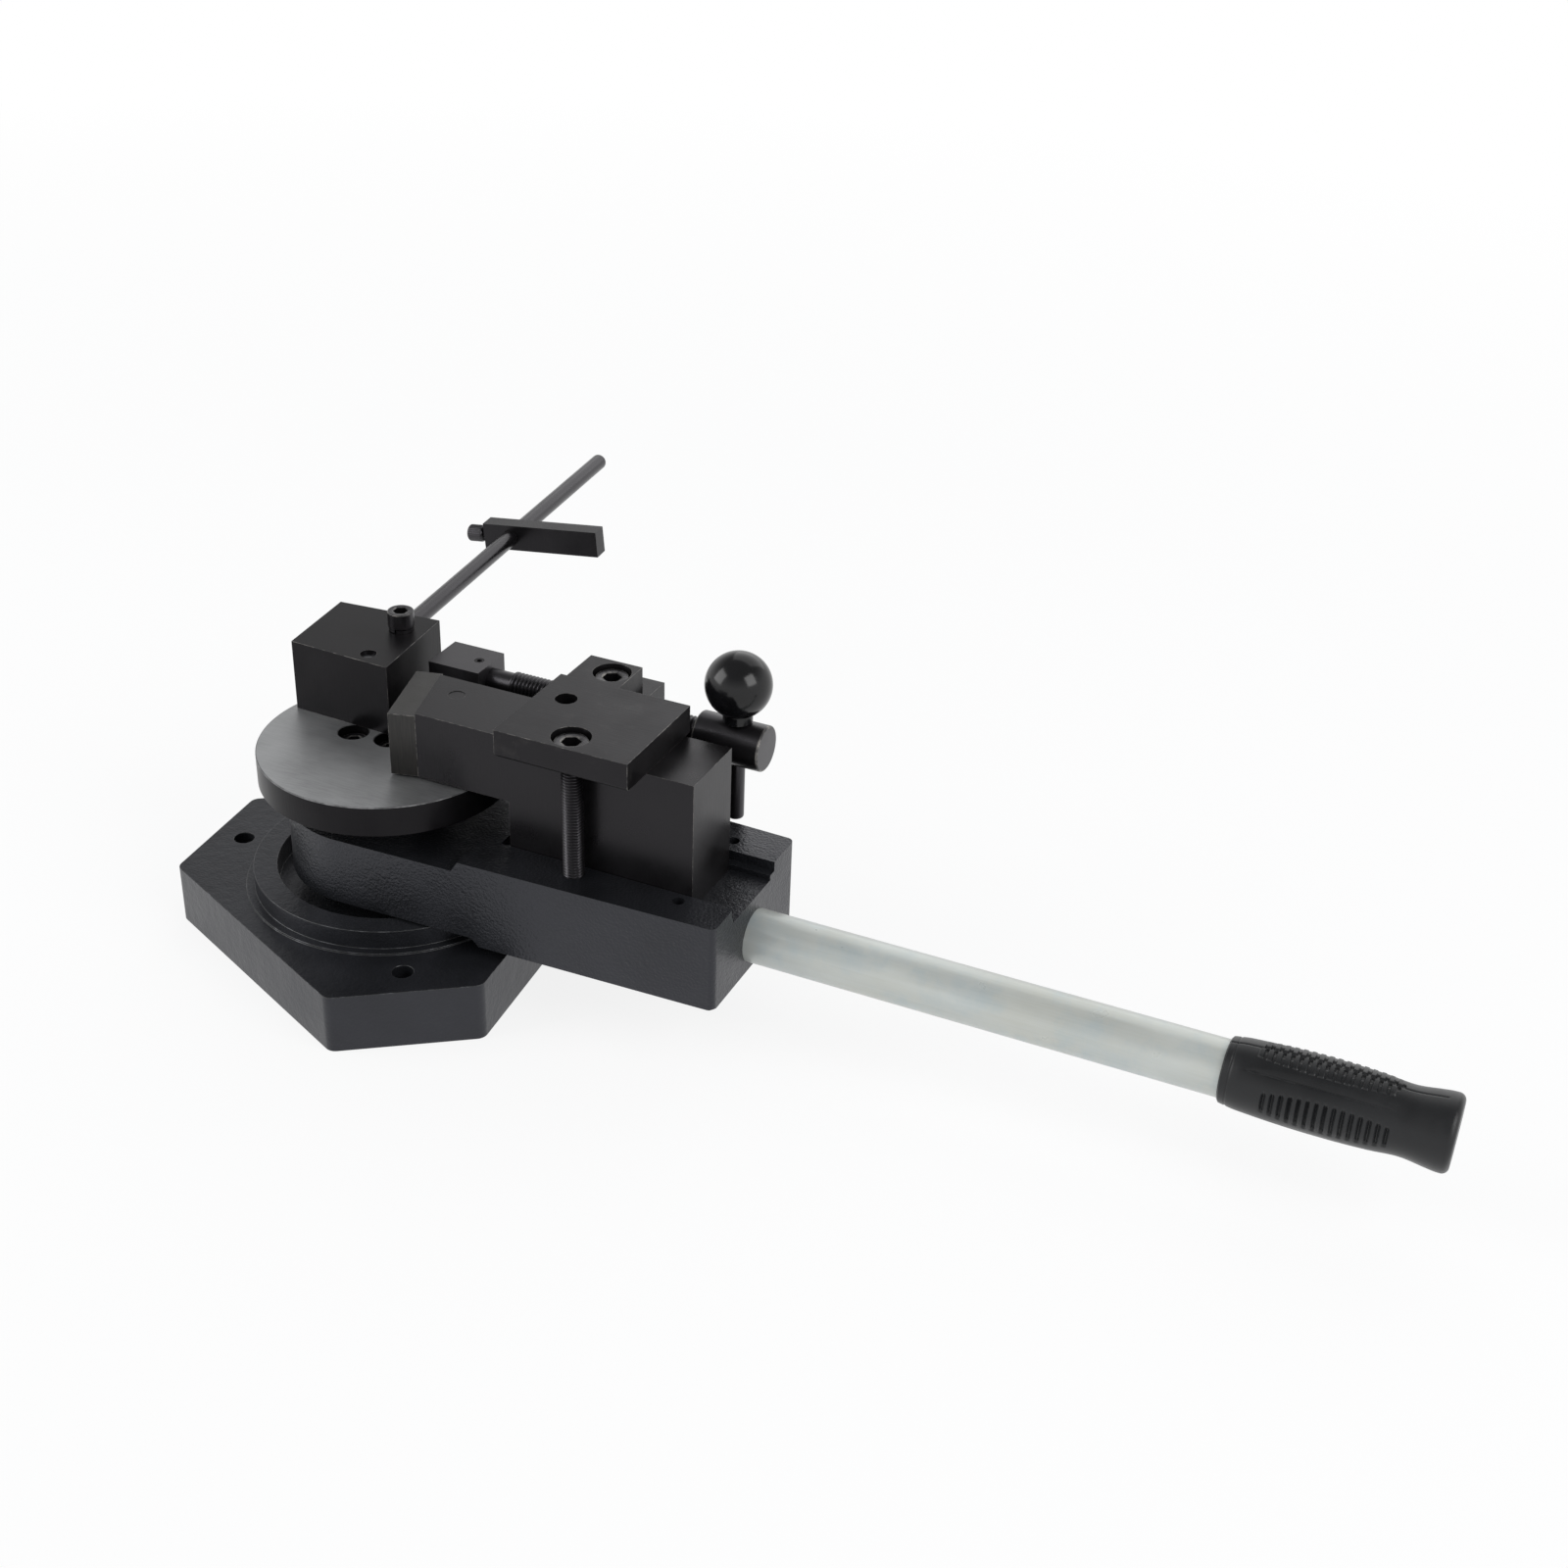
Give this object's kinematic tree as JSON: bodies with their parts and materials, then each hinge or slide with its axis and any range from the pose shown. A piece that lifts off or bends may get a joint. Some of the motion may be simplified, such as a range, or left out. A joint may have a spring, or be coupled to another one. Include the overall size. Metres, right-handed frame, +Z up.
{
  "type": "bench metal bender",
  "caption": "Bench-mounted lever bender: a long arm turns on a column and forms flat stock round a fixed anvil, with a screw-fed jaw, a length stop on a rod and a padded handle.",
  "frame": {"origin": "on the arm's pivot axis, at the underside of the base, in the middle of its bolt circle", "axes": "+X along the arm towards the handle, +Y to the rear along the stop rod, +Z up along the pivot"},
  "size_m": [0.6115, 0.4354, 0.1674],
  "materials": {
    "painted_casting": "black sprayed paint over the cast skin",
    "blackened_steel": "black oxide on milled and turned steel",
    "ground_steel": "ground top, black side",
    "nose_steel": "ground tool steel",
    "turned_steel": "turned and ground",
    "bearing_bronze": "turned bronze",
    "zinc_plated_tube": "zinc plate",
    "grip_rubber": "moulded",
    "ball_phenolic": "polished"
  },
  "bodies": {
    "base_group": {"base": "painted_casting", "column": "turned_steel", "column_bolt": "blackened_steel", "column_washer": "turned_steel", "column_dowel": "turned_steel", "lower_thrust_washer": "bearing_bronze", "table_disc": "ground_steel", "table_centre_screw": "blackened_steel", "table_screws": "blackened_steel", "anvil": "blackened_steel", "anvil_screw": "blackened_steel", "anvil_lock_washer": "blackened_steel", "anvil_dowel": "turned_steel", "stop_rod": "blackened_steel"},
    "lever": {"arm": "painted_casting", "hub_bush": "bearing_bronze", "upper_thrust_washer": "bearing_bronze", "handle_tube": "zinc_plated_tube", "handle_grub_screw": "blackened_steel", "handle_grip": "grip_rubber", "saddle": "blackened_steel", "saddle_bolts": "blackened_steel", "spindle_bracket": "blackened_steel"},
    "former": {"forming_block": "blackened_steel", "nose_insert": "nose_steel", "nose_pin": "blackened_steel"},
    "jaw_block": {"jaw": "blackened_steel", "jaw_screw": "blackened_steel"},
    "screw_spindle": {"spindle": "blackened_steel"},
    "cross_bar": {"t_bar": "blackened_steel", "ball_knob": "ball_phenolic"},
    "finger": {"stop_finger": "blackened_steel"},
    "thumb_screw": {"finger_screw": "blackened_steel"}
  },
  "joints": [
    {"name": "arm_swing", "type": "hinge", "parent": "base_group", "child": "lever", "pos_m": [0, 0, 0.0583], "axis": [0, 0, -1], "range_deg": [-3, 100]},
    {"name": "former_slide", "type": "slide", "parent": "lever", "child": "former", "axis": [1, 0, 0], "range_m": [-0.003, 0.015]},
    {"name": "jaw_feed", "type": "slide", "parent": "lever", "child": "jaw_block", "axis": [1, 0, 0], "range_m": [-0.004, 0.02]},
    {"name": "spindle_turn", "type": "hinge", "parent": "jaw_block", "child": "screw_spindle", "pos_m": [0.161, 0.047, 0.122], "axis": [1, 0, 0], "range_deg": [-36, 26]},
    {"name": "cross_bar_slide", "type": "slide", "parent": "screw_spindle", "child": "cross_bar", "axis": [0, 0, 1], "range_m": [0, 0.025]},
    {"name": "finger_slide", "type": "slide", "parent": "base_group", "child": "finger", "axis": [-0.0906, 0.9959, 0], "range_m": [-0.13, 0.11]},
    {"name": "finger_screw_turn", "type": "hinge", "parent": "finger", "child": "thumb_screw", "pos_m": [-0.05582, 0.21282, 0.116], "axis": [0.9918, 0.0903, 0.0906], "range_deg": [-30, 330]}
  ]
}
